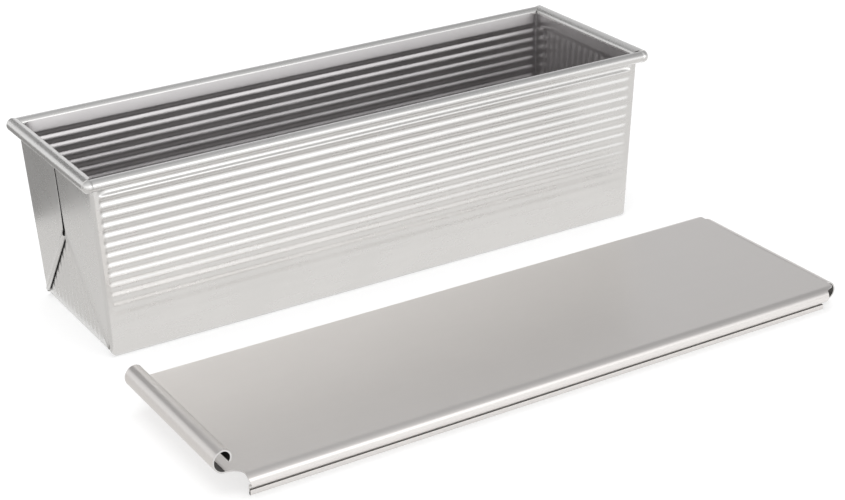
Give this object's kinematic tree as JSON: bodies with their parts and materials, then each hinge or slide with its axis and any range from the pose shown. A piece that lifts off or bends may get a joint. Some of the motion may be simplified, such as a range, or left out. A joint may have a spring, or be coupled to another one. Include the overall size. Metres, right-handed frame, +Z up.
{
  "type": "pullman loaf pan",
  "caption": "Long straight-sided ribbed metal loaf pan with folded ends and a wire-reinforced rolled rim, and a flat sliding cover with rolled rails lying beside it.",
  "frame": {"origin": "middle of the pan's base, on the table", "axes": "+X along the pan's length towards the cover's down-turned end, +Y from the cover towards the pan, +Z up"},
  "size_m": [0.365, 0.268, 0.1032],
  "materials": {
    "pan_steel": "satin",
    "wire_steel": "plain",
    "lid_steel": "satin"
  },
  "bodies": {
    "pan": {"pan_shell": "pan_steel", "rim_wire": "wire_steel"},
    "lid": {"lid_sheet": "lid_steel"}
  },
  "joints": [
    {"name": "lid_lift", "type": "slide", "parent": "pan", "child": "lid", "axis": [0, 0, 1], "range_m": [0, 0.12]}
  ]
}
